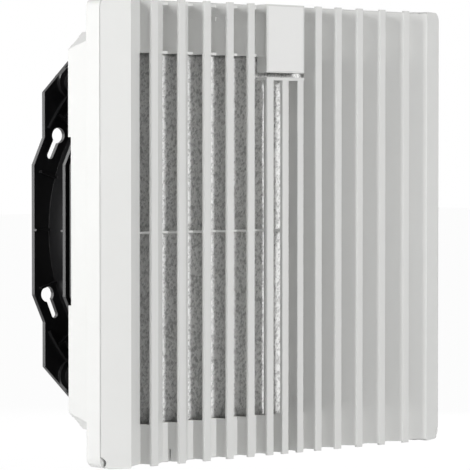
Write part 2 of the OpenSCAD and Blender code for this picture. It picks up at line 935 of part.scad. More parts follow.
module fan_housing() {
    color("#18191b")
        difference() {
            union() {
                slab(housing_y, rear_y)
                    annulus(duct_out, duct_r);
                housing_flange(housing_y);
                housing_flange(rear_y - flange_t);
                slab(rear_y - flange_t - rib_h, rear_y - flange_t + skin)
                    flange_ribs();
                slab(housing_y + flange_t - skin, housing_y + flange_t + rib_h)
                    flange_ribs();
                at_corners(corner_xy)
                    rod(0, 0, rear_y - flange_t - boss_h, boss_y, boss_r);
                spider();
            }
            at_corners(corner_xy)
                rod(0, 0, rear_y - flange_t - boss_h + duct_wall / 2, big, screw_r);
            at_corners(motor_screw_xy)
                rod(0, 0, base_y, big, screw_r + 0.2);
        }
}

// Motor

module motor_base() {
    color("silver")
        difference() {
            union() {
                slab(base_y, disc_y)
                    circle(disc_r);
                slab(tube_y, base_y + skin)
                    circle(tube_out);
            }
            rod(0, 0, tube_y - 1, base_y, tube_in);
            rod(0, 0, tube_y - 1, big, bearing_r - 2);
            at_corners(motor_screw_xy)
                rod(0, 0, base_y - 1, big, screw_r);
        }
}

module stator_core() {
    tooth_w = 5;
    shoe_t = 2.5;
    yoke_t = 6;
    slot_w = 2;
    color("slategray")
        slab(core_y, core_y + core_l) {
            annulus(tube_out + yoke_t, tube_out);
            for (i = [0 : tooth_n - 1])
                rotate(i * 360 / tooth_n)
                    translate([tube_out + yoke_t - 1, -tooth_w / 2])
                        square([core_r - tube_out - yoke_t, tooth_w]);
            difference() {
                annulus(core_r, core_r - shoe_t);
                for (i = [0 : tooth_n - 1])
                    rotate((i + 0.5) * 360 / tooth_n)
                        translate([core_r - 2 * shoe_t, -slot_w / 2])
                            square([3 * shoe_t, slot_w]);
            }
        }
}

module stator_winding() {
    color("peru")
        for (y = [core_y - coil_h, core_y + core_l])
            slab(y, y + coil_h)
                annulus(core_r - 4, tube_out + 3);
}

module bearing_outer_rings() {
    color("lightsteelblue")
        for (y = bearings)
            difference() {
                rod(0, 0, y, y + bearing_w, bearing_r);
                rod(0, 0, y - 1, y + bearing_w + 1, outer_race);
                ball_track(y);
            }
}

module bearing_inner_rings() {
    color("lightsteelblue")
        for (y = bearings)
            difference() {
                rod(0, 0, y, y + bearing_w, inner_race);
                rod(0, 0, y - 1, y + bearing_w + 1, shaft_r);
                ball_track(y);
            }
}

module ball_track(y) {
    translate([0, y + bearing_w / 2, 0])
        rotate([90, 0, 0])
            rotate_extrude()
                translate([ball_circle, 0])
                    circle(ball_r + race_gap);
}

module bearing_balls() {
    color("white")
        for (y = bearings)
            for (i = [0 : ball_n - 1])
                rotate([0, i * 360 / ball_n, 0])
                    translate([ball_circle, y + bearing_w / 2, 0])
                        sphere(ball_r);
}

module shaft() {
    color("silver")
        difference() {
            rod(0, 0, cup_y, shaft_end, shaft_r);
            slab(clip_groove_y - 0.45, clip_groove_y + 0.45)
                annulus(shaft_r + 1, shaft_r - 0.6);
        }
}

module shaft_circlip() {
    gap = 2;
    color("dimgray")
        slab(clip_groove_y - 0.4, clip_groove_y + 0.4)
            difference() {
                annulus(shaft_r + 1.8, shaft_r - 0.6);
                translate([0, -gap / 2])
                    square([2 * shaft_r, gap]);
            }
}

module rotor_cup() {
    color("gray")
        difference() {
            rod(0, 0, cup_y, cup_end, cup_r);
            rod(0, 0, cup_y + cup_t, big, cup_r - cup_t);
            rod(0, 0, -big, big, shaft_r);
        }
}

module rotor_ring() {
    color("dimgray")
        slab(core_y - 1, core_y + core_l + 1)
            annulus(cup_r - cup_t, ring_in);
}

// A blade is lofted through rings of points from its root to its tip. Each ring runs
// along the blade's pressure side and back along its suction side.
chord_n = 8;
span_n = 6;
root_r = hub_r - hub_t / 2;

function blade_turn(u, v) = blade_wrap * (u - 0.5) - blade_sweep * pow(v, 1.6);
function blade_half(u) = blade_t / 2 * sqrt(max(0.06, sin(180 * pow(u, 0.8))));
function blade_point(u, v, side) =
    let (r = root_r + (tip_r - root_r) * v)
    let (along = unit([r * blade_wrap * PI / 180, blade_d]))
    let (out = side * blade_half(u))
    let (a = blade_turn(u, v) + out * along[1] / r * 180 / PI)
    [r * cos(a), blade_y + blade_d * u - out * along[0], r * sin(a)];
function blade_ring(v) = concat(
    [for (i = [0 : chord_n]) blade_point(i / chord_n, v, 1)],
    [for (i = [chord_n : -1 : 0]) blade_point(i / chord_n, v, -1)]);

module blade() {
    m = 2 * (chord_n + 1);
    points = [for (j = [0 : span_n]) each blade_ring(j / span_n)];
    walls = [for (j = [0 : span_n - 1]) for (i = [0 : m - 1])
        each [[j * m + i, j * m + (i + 1) % m, (j + 1) * m + (i + 1) % m],
              [j * m + i, (j + 1) * m + (i + 1) % m, (j + 1) * m + i]]];
    root = [for (i = [0 : chord_n - 1])
        each [[i, m - 1 - i, i + 1], [i + 1, m - 1 - i, m - 2 - i]]];
    tip = [for (f = root) [f[0], f[2], f[1]] + [1, 1, 1] * span_n * m];
    polyhedron(points, concat(walls, root, tip));
}

module impeller() {
    color("#222326") {
        rotate([-90, 0, 0])
            rotate_extrude()
                hub_profile();
        for (i = [0 : blade_n - 1])
            rotate([0, i * 360 / blade_n, 0])
                blade();
    }
}

// Half section of the hub: radius, then depth
module hub_profile() {
    round_r = 6;
    difference() {
        union() {
            translate([0, hub_y])
                square([hub_r - round_r, hub_t]);
            translate([cup_r, hub_y + round_r])
                square([hub_t, hub_end - hub_y - round_r]);
            translate([hub_r - round_r, hub_y + round_r])
                intersection() {
                    circle(round_r);
                    translate([0, -round_r])
                        square(round_r);
                }
        }
        translate([0, cup_y])
            square([cup_r, big]);
    }
}

module motor_screws() {
    color("silver")
        at_corners(motor_screw_xy)
            screw(spider_y + head_h, spider_y - base_y - 0.5);
}

// Finger guard

module finger_guard() {
    color("#2a2b2d") {
        for (i = [0 : guard_n - 1])
            translate([0, guard_y, 0])
                rotate([90, 0, 0])
                    rotate_extrude()
                        translate([guard_first + i * guard_pitch, 0])
                            circle(wire_r, $fn = 24);
        for (a = sides)
            rotate([0, a + 45, 0]) {
                rod_x(guard_first - 2, corner_xy * sqrt(2) - eye_wire_r, leg_y, 0, wire_r);
                translate([corner_xy * sqrt(2), leg_y, 0])
                    rotate([90, 0, 0])
                        rotate_extrude()
                            translate([eye_wire_r, 0])
                                circle(wire_r, $fn = 24);
            }
    }
}

module guard_screws() {
    color("silver")
        at_corners(corner_xy)
            screw(leg_y + wire_r + head_h, guard_screw_l);
}

// Terminal box

module terminal_box() {
    x = box_w / 2;
    z = box_h / 2;
    color("#26272a")
        difference() {
            union() {
                difference() {
                    block(-x, x, box_y, lid_y, -z, z);
                    block(-x + box_t, x - box_t, box_y + box_t, big, -z + box_t, z - box_t);
                }
                for (s = [-1, 1])
                    block(min(s * lid_screw_x - 3.2, s * (x - 1)), max(s * lid_screw_x + 3.2, s * (x - 1)),
                          box_y + 1, lid_y, -3.2, 3.2);
            }
            for (s = [-1, 1])
                rod(s * lid_screw_x, 0, lid_y - lid_screw_l - 2, big, screw_r);
            rod_z(0, entry_y, -z - 1, -z + box_t + 1, entry_r);
        }
}

module terminal_block() {
    w = pole_n * pole_pitch + 2;
    bore_y = block_y + block_d / 3;
    lead_r = 1.8;
    driver_r = 2.6;
    color("ivory")
        difference() {
            block(-w / 2, w / 2, block_y, block_y + block_d, block_z, block_z + block_h);
            for (i = [0 : pole_n - 1])
                translate([(i - (pole_n - 1) / 2) * pole_pitch, 0, 0]) {
                    rod_z(0, bore_y, block_z - 1, block_z + block_h - box_t, lead_r);
                    rod(0, block_z + block_h / 2, bore_y, big, driver_r);
                }
        }
}

module terminal_clamps() {
    clamp_r = 2.5;
    sunk = 0.8;
    slit = 0.8;
    clamp_y = block_y + block_d - sunk;
    color("goldenrod")
        for (i = [0 : pole_n - 1])
            translate([(i - (pole_n - 1) / 2) * pole_pitch, 0, block_z + block_h / 2])
                difference() {
                    rod(0, 0, block_y + block_d / 2, clamp_y, clamp_r);
                    block(-big, big, clamp_y - slit, big, -slit / 2, slit / 2);
                }
}

module cable_grommet() {
    z = -box_h / 2;
    color("#303030")
        difference() {
            union() {
                rod_z(0, entry_y, z - 1.5, z + box_t + 1.5, entry_r);
                rod_z(0, entry_y, z - 1.5, z, entry_r + 1.5);
                rod_z(0, entry_y, z + box_t, z + box_t + 1.5, entry_r + 1.5);
            }
            rod_z(0, entry_y, z - 3, z + box_t + 3, cable_r);
        }
}

module terminal_lid() {
    color("#26272a")
        difference() {
            slab(lid_y, lid_y + box_t)
                square([box_w, box_h], center = true);
            for (s = [-1, 1])
                rod(s * lid_screw_x, 0, lid_y - 1, big, screw_r + 0.2);
        }
}

module lid_screws() {
    color("silver")
        for (s = [-1, 1])
            translate([s * lid_screw_x, 0, 0])
                screw(lid_y + box_t + head_h, box_t + lid_screw_l);
}

mounting_frame();
panel_gasket();
support_grid();
filter_mat();
clip_pins();
snap_clip(-1, clip_z);  // snap_clip_left_upper
snap_clip(-1, -clip_z);  // snap_clip_left_lower
snap_clip(1, clip_z);  // snap_clip_right_upper
snap_clip(1, -clip_z);  // snap_clip_right_lower
grille_cover();
badge_plate();
hinge_pins();
carrier_plate();
carrier_screws();
bayonet_studs();
inlet_seal();
fan_housing();
motor_base();
stator_core();
stator_winding();
bearing_outer_rings();
bearing_balls();
bearing_inner_rings();
shaft();
shaft_circlip();
rotor_cup();
rotor_ring();
impeller();
motor_screws();
finger_guard();
guard_screws();
terminal_box();
terminal_block();
terminal_clamps();
cable_grommet();
terminal_lid();
lid_screws();
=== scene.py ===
"""Looks of the cabinet filter fan: finishes, the fleece mat, the foam seals and a studio."""

import math

import bmesh
import bpy
from mathutils import Matrix, Vector, noise


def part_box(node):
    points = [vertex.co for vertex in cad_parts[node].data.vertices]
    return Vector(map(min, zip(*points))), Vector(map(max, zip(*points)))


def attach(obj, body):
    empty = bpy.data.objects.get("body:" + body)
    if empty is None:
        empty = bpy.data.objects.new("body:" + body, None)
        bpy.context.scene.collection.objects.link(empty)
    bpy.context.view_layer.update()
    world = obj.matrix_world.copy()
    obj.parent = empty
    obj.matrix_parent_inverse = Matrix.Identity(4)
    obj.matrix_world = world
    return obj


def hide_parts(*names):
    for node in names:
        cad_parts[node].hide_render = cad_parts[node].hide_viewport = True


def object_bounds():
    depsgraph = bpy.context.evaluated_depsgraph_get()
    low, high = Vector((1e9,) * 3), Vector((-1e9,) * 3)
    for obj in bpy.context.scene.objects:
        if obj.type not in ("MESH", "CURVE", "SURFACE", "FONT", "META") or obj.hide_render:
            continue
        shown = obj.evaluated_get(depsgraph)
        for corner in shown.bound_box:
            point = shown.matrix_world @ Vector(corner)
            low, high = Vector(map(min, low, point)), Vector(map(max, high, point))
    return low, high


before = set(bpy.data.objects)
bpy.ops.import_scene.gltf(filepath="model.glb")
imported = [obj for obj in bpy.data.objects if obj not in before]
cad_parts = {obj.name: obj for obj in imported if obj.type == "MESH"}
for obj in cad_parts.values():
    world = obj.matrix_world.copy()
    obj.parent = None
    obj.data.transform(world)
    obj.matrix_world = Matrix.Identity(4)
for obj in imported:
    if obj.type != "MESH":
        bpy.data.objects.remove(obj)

bl_info = {
    "name": "Filter Fan Looks",
    "version": (1, 0, 0),
    "blender": (4, 5, 0),
    "location": "View3D > Sidebar > Filter Fan",
    "description": "Finishes, soft pieces and studio for a cabinet filter fan",
    "category": "Object",
}

CAD_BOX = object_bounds()
MM = 0.001
QUARTER_TURN = math.radians(90)

# CAD nodes by finish
LIGHT_NODES = ("mounting_frame", "support_grid", "grille_cover")
BLACK_NODES = ("carrier_plate", "fan_housing", "impeller", "terminal_box", "terminal_lid")
SPRING_NODES = (
    "snap_clip_left_upper", "snap_clip_left_lower", "snap_clip_right_upper",
    "snap_clip_right_lower", "shaft_circlip",
)
BRIGHT_NODES = (
    "clip_pins", "hinge_pins", "carrier_screws", "bayonet_studs", "motor_screws", "guard_screws",
    "lid_screws", "shaft", "bearing_outer_rings", "bearing_balls", "bearing_inner_rings",
)
CORE_NODES = ("stator_core", "rotor_cup", "rotor_ring")

# Colours that no setting changes
IVORY = (0.60, 0.58, 0.50)
ZINC = (0.62, 0.63, 0.65)
SPRING_STEEL = (0.5, 0.51, 0.54)
CORE_STEEL = (0.34, 0.35, 0.37)
DIE_CAST = (0.58, 0.58, 0.6)
BRASS = (0.72, 0.52, 0.22)
COPPER = (0.7, 0.3, 0.12)
FLOOR_GREY = (0.85, 0.85, 0.85, 1)
WHITE = (1, 1, 1, 1)

# Sockets of a Mix node that mixes colours
MIX_A, MIX_B, MIX_RESULT = 6, 7, 2

# Fibres of the fleece: stretch along their length, and the two directions in degrees
FIBRE_STRETCH = (1.0, 1.0, 0.2)
FIBRE_SLANTS = (14.0, -38.0)

# Nap of the mat: scale and weight of its tufts and of its slow waves
TUFT_SCALE, TUFT_WEIGHT = 260.0, 0.45
WAVE_SCALE, WAVE_WEIGHT = 45.0, 0.25
TUFT_FALLOFF, TUFT_STEP, TUFT_OCTAVES = 1.0, 2.0, 4
NAP_MEAN = 0.5

SHARP_ANGLE = math.radians(60)

# Soft boxes: name, place, width and height in metres, and the setting that holds the power
SOFT_BOXES = (
    ("side light", (-1.6, -0.07, 0.25), (0.25, 1.6), "side_light"),
    ("front light", (0.42, -1.95, 0.5), (0.5, 0.6), "front_light"),
    ("rear light", (-0.8, 1.25, 0.3), (0.4, 1.4), "rear_light"),
    ("fill light", (1.35, 1.3, 0.3), (0.9, 0.9), "fill_light"),
)

# Reach of the floor to each side, and how much of what is seen of it is plain white
FLOOR_REACH = 12
FLOOR_WHITE = 0.97


# Settings

class FinishSettings(bpy.types.PropertyGroup):
    """Colours and surface qualities of the finishes."""

    light_grey: bpy.props.FloatVectorProperty(
        name="Light grey", description="Colour of the frame and the louvre cover",
        subtype="COLOR", size=3, min=0, max=1, default=(0.665, 0.667, 0.655))
    light_roughness: bpy.props.FloatProperty(
        name="Light roughness", description="Roughness of the light plastic",
        subtype="FACTOR", min=0, max=1, default=0.46)
    badge_white: bpy.props.FloatVectorProperty(
        name="Badge", description="Colour of the bare badge plate",
        subtype="COLOR", size=3, min=0, max=1, default=(0.78, 0.78, 0.77))
    black: bpy.props.FloatVectorProperty(
        name="Black", description="Colour of the fan's glass-filled plastic",
        subtype="COLOR", size=3, min=0, max=1, default=(0.006, 0.006, 0.0065))
    fleece_grey: bpy.props.FloatVectorProperty(
        name="Fleece", description="Colour of the filter fleece between its gaps",
        subtype="COLOR", size=3, min=0, max=1, default=(0.92, 0.92, 0.91))
    edge_radius: bpy.props.FloatProperty(
        name="Edge radius", description="Rounding of moulded edges",
        subtype="DISTANCE", min=0, max=0.002, default=0.35 * MM)


class MatSettings(bpy.types.PropertyGroup):
    """Shape of the fleece mat."""

    cell: bpy.props.FloatProperty(
        name="Cell", description="Grid of the modelled fleece surface",
        subtype="DISTANCE", min=0.0005, max=0.01, default=1.3 * MM)
    nap: bpy.props.FloatProperty(
        name="Nap", description="Depth of the fleece's uneven surface",
        subtype="DISTANCE", min=0, max=0.003, default=1.1 * MM)
    corner: bpy.props.FloatProperty(
        name="Corner", description="Rounding of the mat's cut edges",
        subtype="DISTANCE", min=0, max=0.006, default=2.0 * MM)


class SealSettings(bpy.types.PropertyGroup):
    """Shape of the foam rings."""

    colour: bpy.props.FloatVectorProperty(
        name="Foam", description="Colour of the foam rings",
        subtype="COLOR", size=3, min=0, max=1, default=(0.05, 0.05, 0.052))
    gasket_width: bpy.props.FloatProperty(
        name="Gasket width", description="Width of the panel gasket",
        subtype="DISTANCE", min=0, default=5.0 * MM)
    seal_width: bpy.props.FloatProperty(
        name="Seal width", description="Width of the inlet seal",
        subtype="DISTANCE", min=0, default=2.5 * MM)
    soft_edge: bpy.props.FloatProperty(
        name="Soft edge", description="Rounding of the foam's edges",
        subtype="DISTANCE", min=0, default=0.5 * MM)
    round_sides: bpy.props.IntProperty(
        name="Round sides", description="Steps round the inlet seal", min=24, default=128)


class StageSettings(bpy.types.PropertyGroup):
    """Camera, lights and floor."""

    heading: bpy.props.FloatProperty(
        name="Heading", description="Turn of the camera to the object's left",
        subtype="ANGLE", default=math.radians(40.2))
    tilt: bpy.props.FloatProperty(
        name="Tilt", description="Tilt of the camera below the horizon",
        subtype="ANGLE", default=math.radians(1.605))
    lens: bpy.props.FloatProperty(
        name="Lens", description="Focal length on a 36 mm sensor, in millimetres",
        default=205.05)
    eye: bpy.props.FloatVectorProperty(
        name="Eye", description="Place of the camera",
        subtype="TRANSLATION", size=3, default=(-1.003, -1.161, 0.0397))
    floor_drop: bpy.props.FloatProperty(
        name="Floor drop", description="Distance of the floor below the object",
        subtype="DISTANCE", min=0, default=0.16)
    side_light: bpy.props.FloatProperty(
        name="Side light", description="Power of the soft box on the left",
        subtype="POWER", default=25.0)
    front_light: bpy.props.FloatProperty(
        name="Front light", description="Power of the soft box in front",
        subtype="POWER", default=26.0)
    rear_light: bpy.props.FloatProperty(
        name="Rear light", description="Power of the soft box behind on the left",
        subtype="POWER", default=8.0)
    fill_light: bpy.props.FloatProperty(
        name="Fill light", description="Power of the soft box behind on the right",
        subtype="POWER", default=16.0)
    sky: bpy.props.FloatProperty(
        name="Sky", description="Strength of the even light from all sides",
        min=0, default=0.05)


# Node helpers

def new_material(name):
    """A new node material; returns the material, its tree and its shader node."""
    material = bpy.data.materials.new(name)
    material.use_nodes = True
    tree = material.node_tree
    return material, tree, tree.nodes["Principled BSDF"]


def add_node(tree, kind, inputs=None, **options):
    """A new node with its options and constant inputs set."""
    node = tree.nodes.new(kind)
    for key, value in options.items():
        setattr(node, key, value)
    for key, value in (inputs or {}).items():
        node.inputs[key].default_value = value
    return node


def joined(tree, operation, first, second):
    """Joins two factors by a math operation; returns the socket."""
    node = add_node(tree, "ShaderNodeMath", operation=operation)
    tree.links.new(first, node.inputs[0])
    tree.links.new(second, node.inputs[1])
    return node.outputs[0]


def object_noise(tree, scale, detail=3.0, roughness=0.55, stretch=(1, 1, 1), slant=0.0):
    """Noise on object coordinates, slanted about Y and stretched; returns its factor socket."""
    place = add_node(tree, "ShaderNodeTexCoord")
    turned = add_node(tree, "ShaderNodeMapping", {"Rotation": (0, math.radians(slant), 0)})
    mapping = add_node(tree, "ShaderNodeMapping", {"Scale": stretch})
    texture = add_node(tree, "ShaderNodeTexNoise",
                       {"Scale": scale, "Detail": detail, "Roughness": roughness})
    tree.links.new(place.outputs["Object"], turned.inputs["Vector"])
    tree.links.new(turned.outputs["Vector"], mapping.inputs["Vector"])
    tree.links.new(mapping.outputs["Vector"], texture.inputs["Vector"])
    return texture.outputs["Fac"]


def spread(tree, source, low, high, start=0.3, end=0.7):
    """Maps a factor to a range of values; returns the socket."""
    node = add_node(tree, "ShaderNodeMapRange",
                    {"From Min": start, "From Max": end, "To Min": low, "To Max": high})
    tree.links.new(source, node.inputs["Value"])
    return node.outputs["Result"]


def shade_between(tree, source, dark, light, start=0.3, end=0.7):
    """Mixes two colours by a factor; returns the colour socket."""
    factor = spread(tree, source, 0.0, 1.0, start, end)
    node = add_node(tree, "ShaderNodeMix", {MIX_A: (*dark, 1), MIX_B: (*light, 1)},
                    data_type="RGBA")
    tree.links.new(factor, node.inputs["Factor"])
    return node.outputs[MIX_RESULT]


def bump(tree, shader, height, strength, distance, before=None):
    """Adds a bump layer to the shader's normal; returns the bump node."""
    node = add_node(tree, "ShaderNodeBump", {"Strength": strength, "Distance": distance})
    tree.links.new(height, node.inputs["Height"])
    if before:
        tree.links.new(before.outputs["Normal"], node.inputs["Normal"])
    tree.links.new(node.outputs["Normal"], shader.inputs["Normal"])
    return node


def tinted(colour, factor):
    """A colour made darker or lighter by a factor."""
    return tuple(min(1.0, c * factor) for c in colour)


# Finishes

def moulded_plastic(name, colour, roughness, grain, contrast, edge):
    """Injection-moulded plastic: rounded edges, an eroded mould texture and faint flow clouds."""
    material, tree, shader = new_material(name)
    rounded = add_node(tree, "ShaderNodeBevel", {"Radius": edge}, samples=4)
    clouds = object_noise(tree, scale=14.0, detail=4.0)
    fine = object_noise(tree, scale=grain, detail=2.0, roughness=0.6)
    tone = shade_between(tree, clouds, tinted(colour, 1 - contrast), tinted(colour, 1 + contrast))
    dullness = spread(tree, fine, low=roughness - 0.05, high=roughness + 0.06)
    tree.links.new(tone, shader.inputs["Base Color"])
    tree.links.new(dullness, shader.inputs["Roughness"])
    bump(tree, shader, fine, strength=0.25, distance=0.06 * MM, before=rounded)
    return material


def plated_metal(name, colour, roughness, stretch=(1, 1, 1)):
    """Plated or rolled metal with fine streaks and faint stains."""
    material, tree, shader = new_material(name)
    shader.inputs["Metallic"].default_value = 1.0
    stains = object_noise(tree, scale=60.0, detail=5.0)
    streaks = object_noise(tree, scale=700.0, detail=2.0, roughness=0.5, stretch=stretch)
    tone = shade_between(tree, stains, tinted(colour, 0.82), tinted(colour, 1.08))
    dullness = spread(tree, streaks, low=roughness - 0.08, high=roughness + 0.1)
    tree.links.new(tone, shader.inputs["Base Color"])
    tree.links.new(dullness, shader.inputs["Roughness"])
    bump(tree, shader, streaks, strength=0.15, distance=0.03 * MM)
    return material


def powder_coat(name, colour):
    """Powder coat with a fine orange peel."""
    material, tree, shader = new_material(name)
    peel = object_noise(tree, scale=1600.0, detail=1.0)
    clouds = object_noise(tree, scale=90.0)
    tone = shade_between(tree, clouds, tinted(colour, 0.8), tinted(colour, 1.25))
    dullness = spread(tree, peel, low=0.34, high=0.48)
    tree.links.new(tone, shader.inputs["Base Color"])
    tree.links.new(dullness, shader.inputs["Roughness"])
    bump(tree, shader, peel, strength=0.3, distance=0.05 * MM)
    return material


def foam(name, colour):
    """Closed-cell foam or rubber: small round pores in a dull skin, with painted shade in the pores.
    """
    material, tree, shader = new_material(name)
    place = add_node(tree, "ShaderNodeTexCoord")
    cells = add_node(tree, "ShaderNodeTexVoronoi", {"Scale": 900.0})
    tree.links.new(place.outputs["Object"], cells.inputs["Vector"])
    pores = cells.outputs["Distance"]
    # painted shade: darker in the pores, lighter on the skin between them
    tone = shade_between(tree, pores, tinted(colour, 0.5), tinted(colour, 1.3), start=0.1, end=0.6)
    tree.links.new(tone, shader.inputs["Base Color"])
    shader.inputs["Roughness"].default_value = 0.92
    bump(tree, shader, pores, strength=0.6, distance=0.25 * MM)
    return material


def fleece(name, colour):
    """Needled fibre fleece: crossing fibres and tufts, with painted shade in the gaps between them
    and painted light on their tops.
    """
    material, tree, shader = new_material(name)
    tufts = object_noise(tree, scale=420.0, detail=5.0, roughness=0.7)
    layers = [object_noise(tree, scale=1000.0, roughness=0.7, stretch=FIBRE_STRETCH, slant=slant)
              for slant in FIBRE_SLANTS]
    fibres = joined(tree, "MAXIMUM", *layers)
    painted_relief_shading = joined(tree, "ADD", fibres, tufts)
    # painted light and shade of the relief: darker in the gaps between fibres and tufts, lighter on
    # their tops
    tone = shade_between(tree, painted_relief_shading, tinted(colour, 0.58), tinted(colour, 1.08), start=0.9, end=1.1)
    tree.links.new(tone, shader.inputs["Base Color"])
    shader.inputs["Roughness"].default_value = 0.95
    shader.inputs["Sheen Weight"].default_value = 0.25
    shader.inputs["Sheen Roughness"].default_value = 0.6
    coarse = bump(tree, shader, tufts, strength=0.5, distance=0.8 * MM)
    bump(tree, shader, fibres, strength=0.8, distance=0.6 * MM, before=coarse)
    return material


def winding(name, colour):
    """Enamelled wire laid side by side, with painted shade in the creases between the turns and
    painted light on their crowns.
    """
    material, tree, shader = new_material(name)
    place = add_node(tree, "ShaderNodeTexCoord")
    wave = add_node(tree, "ShaderNodeTexWave",
                    {"Scale": 320.0, "Distortion": 0.6, "Detail": 2.0},
                    wave_type="RINGS", rings_direction="Y")
    tree.links.new(place.outputs["Object"], wave.inputs["Vector"])
    turns = wave.outputs["Fac"]
    shader.inputs["Metallic"].default_value = 1.0
    # painted shade and light: darker in the creases between turns, lighter on the crowns of the wire
    tone = shade_between(tree, turns, tinted(colour, 0.35), tinted(colour, 1.15), start=0.0, end=1.0)
    tree.links.new(tone, shader.inputs["Base Color"])
    shader.inputs["Roughness"].default_value = 0.34
    bump(tree, shader, turns, strength=0.8, distance=0.2 * MM)
    return material


def dress(names, material):
    """Gives CAD nodes a finish in place of their plain one."""
    for name in names:
        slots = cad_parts[name].data.materials
        slots.clear()
        slots.append(material)


def finished_object(name, mesh, material, body):
    """Links a bmesh as a finished piece that rides on a body."""
    data = bpy.data.meshes.new(name)
    bmesh.ops.recalc_face_normals(mesh, faces=mesh.faces)
    mesh.to_mesh(data)
    mesh.free()
    data.materials.append(material)
    piece = bpy.data.objects.new(name, data)
    bpy.context.scene.collection.objects.link(piece)
    for face in data.polygons:
        face.use_smooth = True
    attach(piece, body)
    return piece


# Pieces

class FILTERFAN_OT_light_plastic(bpy.types.Operator):
    """Finish the frame, the support grid, the louvre cover and the bare badge plate"""

    bl_idname = "filter_fan.light_plastic"
    bl_label = "Light plastic"

    def execute(self, context):
        finish = context.scene.filter_fan_finish
        edge = finish.edge_radius
        dress(LIGHT_NODES, moulded_plastic(
            "light grey plastic", finish.light_grey, finish.light_roughness,
            grain=2600.0, contrast=0.012, edge=edge))
        dress(("badge_plate",), moulded_plastic(
            "badge plastic", finish.badge_white, roughness=0.38,
            grain=3400.0, contrast=0.008, edge=edge / 2))
        return {"FINISHED"}


class FILTERFAN_OT_black_fan(bpy.types.Operator):
    """Finish the carrier plate, the fan's mouldings, the terminal box and the finger guard"""

    bl_idname = "filter_fan.black_fan"
    bl_label = "Black fan"

    def execute(self, context):
        finish = context.scene.filter_fan_finish
        edge = finish.edge_radius
        dress(BLACK_NODES, moulded_plastic(
            "black plastic", finish.black, roughness=0.34, grain=1900.0, contrast=0.12, edge=edge))
        dress(("finger_guard",), powder_coat("guard coat", tinted(finish.black, 1.6)))
        dress(("cable_grommet",), foam("grommet rubber", tinted(finish.black, 1.8)))
        dress(("terminal_block",), moulded_plastic(
            "terminal ivory", IVORY, roughness=0.4, grain=2400.0, contrast=0.03, edge=edge / 2))
        return {"FINISHED"}


class FILTERFAN_OT_metal(bpy.types.Operator):
    """Finish the fasteners, the clips, the bearings and the motor"""

    bl_idname = "filter_fan.metal"
    bl_label = "Metal"

    def execute(self, context):
        dress(BRIGHT_NODES, plated_metal("zinc plate", ZINC, roughness=0.3))
        dress(SPRING_NODES, plated_metal(
            "spring strip", SPRING_STEEL, roughness=0.33, stretch=(1, 1, 0.1)))
        dress(CORE_NODES, plated_metal(
            "core steel", CORE_STEEL, roughness=0.42, stretch=(0.2, 6, 0.2)))
        dress(("motor_base",), plated_metal("die cast", DIE_CAST, roughness=0.5))
        dress(("terminal_clamps",), plated_metal("brass", BRASS, roughness=0.3))
        dress(("stator_winding",), winding("winding", COPPER))
        return {"FINISHED"}


class FILTERFAN_OT_filter_mat(bpy.types.Operator):
    """Model the fleece mat with an uneven nap and rounded cut edges"""

    bl_idname = "filter_fan.filter_mat"
    bl_label = "Filter mat"

    def execute(self, context):
        finish = context.scene.filter_fan_finish
        shape = context.scene.filter_fan_mat
        low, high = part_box("filter_mat")
        size = high - low
        middle = (low + high) / 2
        stretch = Matrix.Diagonal((size.x / 2, size.z / 2, 1, 1))
        mesh = bmesh.new()
        for side in (-1, 1):
            turn = Matrix.Rotation(side * QUARTER_TURN, 4, "X")
            place = Matrix.Translation(middle + Vector((0, side * size.y / 2, 0)))
            bmesh.ops.create_grid(
                mesh, x_segments=round(size.x / shape.cell), y_segments=round(size.z / shape.cell),
                size=1, matrix=place @ turn @ stretch)
        rims = [e for e in mesh.edges if e.is_boundary]
        bmesh.ops.bridge_loops(mesh, edges=rims)
        for vert in mesh.verts:
            self.settle(vert, middle, size, shape)
        piece = finished_object("fleece_mat", mesh, fleece("filter fleece", finish.fleece_grey),
                                "frame")
        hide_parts("filter_mat")
        return {"FINISHED"}

    def settle(self, vert, middle, size, shape):
        """Moves a point of the mat inwards: rounded cut edges and an uneven nap."""
        side = 1 if vert.co.y > middle.y else -1
        rim = min(size.x / 2 - abs(vert.co.x - middle.x), size.z / 2 - abs(vert.co.z - middle.z))
        inward = max(0.0, shape.corner - rim)
        rounding = shape.corner - math.sqrt(max(0.0, shape.corner ** 2 - inward ** 2))
        tuft = noise.fractal(vert.co * TUFT_SCALE, TUFT_FALLOFF, TUFT_STEP, TUFT_OCTAVES)
        wave = noise.noise(vert.co * WAVE_SCALE)
        share = NAP_MEAN + TUFT_WEIGHT * tuft + WAVE_WEIGHT * wave
        nap = shape.nap * min(1.0, max(0.0, share))
        vert.co.y -= side * (rounding + nap)


